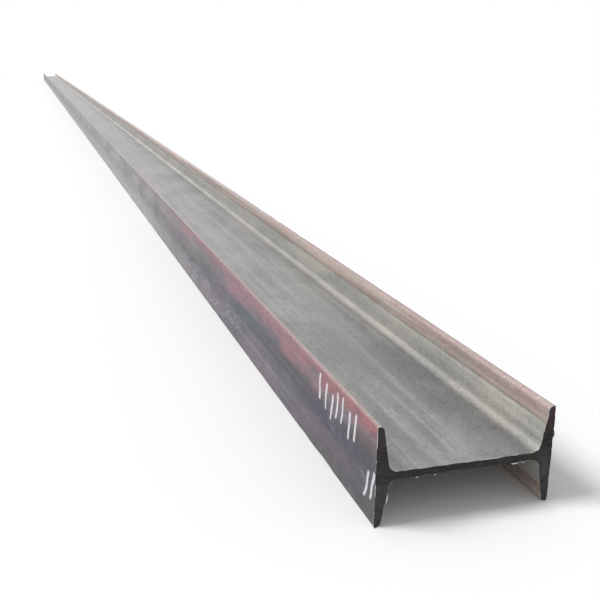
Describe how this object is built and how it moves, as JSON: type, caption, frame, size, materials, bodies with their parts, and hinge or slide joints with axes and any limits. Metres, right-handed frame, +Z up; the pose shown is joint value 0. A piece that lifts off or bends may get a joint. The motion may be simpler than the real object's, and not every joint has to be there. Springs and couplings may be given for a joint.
{
  "type": "steel h-beam",
  "caption": "Straight hot-rolled steel beam of H or I section with tapered flanges, filleted roots and rounded toes, sawn square at both ends, for carrying load in a frame.",
  "frame": {"origin": "middle of the footprint, on the floor under the middle of the beam's length", "axes": "+X across the section from one outer flange face to the other, +Y along the length, +Z up; the web is level and the flanges stand upright"},
  "size_m": [0.16, 12, 0.088],
  "materials": {
    "rolled_steel": "hot-rolled mill scale with light rust on the edges"
  },
  "bodies": {
    "root": {"h_beam": "rolled_steel"}
  },
  "joints": []
}
